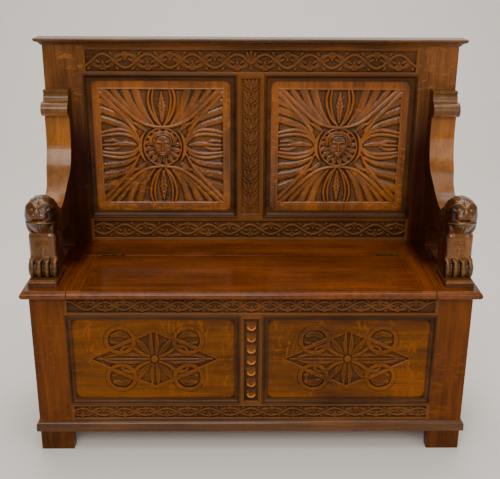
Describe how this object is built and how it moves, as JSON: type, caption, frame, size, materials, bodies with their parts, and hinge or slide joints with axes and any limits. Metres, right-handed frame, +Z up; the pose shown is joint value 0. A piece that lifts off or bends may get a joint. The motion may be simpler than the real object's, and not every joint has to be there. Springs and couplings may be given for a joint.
{
  "type": "settle bench",
  "caption": "Joined oak settle with a carved panelled back, a hinged lidded box seat, and scroll arms that end in lion heads standing on paws.",
  "frame": {"origin": "on the floor under the middle of the settle's bounding box", "axes": "+Z up, front of the settle towards -Y, its length along X"},
  "size_m": [1.226, 0.442, 1.106],
  "materials": {
    "oak_frame": "dark oak, french polished",
    "oak_moulding": "darker stained oak, polished",
    "oak_panel": "golden brown quartered oak, polished, dark in the carving",
    "oak_seat": "glossy golden brown oak, worn by use",
    "oak_carved": "glossy carved oak",
    "oak_inside": "plain unpolished oak",
    "brass_hinge": "dull aged brass"
  },
  "bodies": {
    "carcase": {"arm_left": "oak_carved", "arm_right": "oak_carved", "back_bottom_rail": "oak_frame", "back_muntin": "oak_frame", "back_panel_left": "oak_panel", "back_panel_moulding_left": "oak_moulding", "back_panel_moulding_right": "oak_moulding", "back_panel_right": "oak_panel", "back_top_rail": "oak_frame", "base_moulding_front": "oak_moulding", "base_moulding_left": "oak_moulding", "base_moulding_right": "oak_moulding", "box_rear_panel": "oak_inside", "box_rear_rail": "oak_inside", "cornice_board": "oak_moulding", "cornice_moulding_front": "oak_moulding", "cornice_moulding_left": "oak_moulding", "cornice_moulding_right": "oak_moulding", "floor_boards": "oak_inside", "floor_ledgers": "oak_inside", "front_bottom_rail": "oak_frame", "front_muntin": "oak_frame", "front_panel_left": "oak_panel", "front_panel_moulding_left": "oak_moulding", "front_panel_moulding_right": "oak_moulding", "front_panel_right": "oak_panel", "front_stile_left": "oak_frame", "front_stile_right": "oak_frame", "front_top_rail": "oak_frame", "hinge_fixed_leaves": "brass_hinge", "hinge_pins": "brass_hinge", "lion_left": "oak_carved", "lion_plinth_left": "oak_carved", "lion_plinth_right": "oak_carved", "lion_right": "oak_carved", "rear_seat_bearer": "oak_inside", "rear_seat_board": "oak_seat", "rear_stile_left": "oak_frame", "rear_stile_right": "oak_frame", "seat_end_board_left": "oak_seat", "seat_end_board_right": "oak_seat", "side_bottom_rail_left": "oak_frame", "side_bottom_rail_right": "oak_frame", "side_panel_left": "oak_frame", "side_panel_right": "oak_frame", "side_top_rail_left": "oak_frame", "side_top_rail_right": "oak_frame"},
    "lid": {"lid_board": "oak_seat", "lid_cleat_left": "oak_seat", "lid_cleat_right": "oak_seat", "lid_battens": "oak_inside", "hinge_lid_leaves": "brass_hinge"}
  },
  "joints": [
    {"name": "lid_hinge", "type": "hinge", "parent": "carcase", "child": "lid", "pos_m": [0, 0.05, 0.4992], "axis": [-1, 0, 0], "range_deg": [0, 115]}
  ]
}
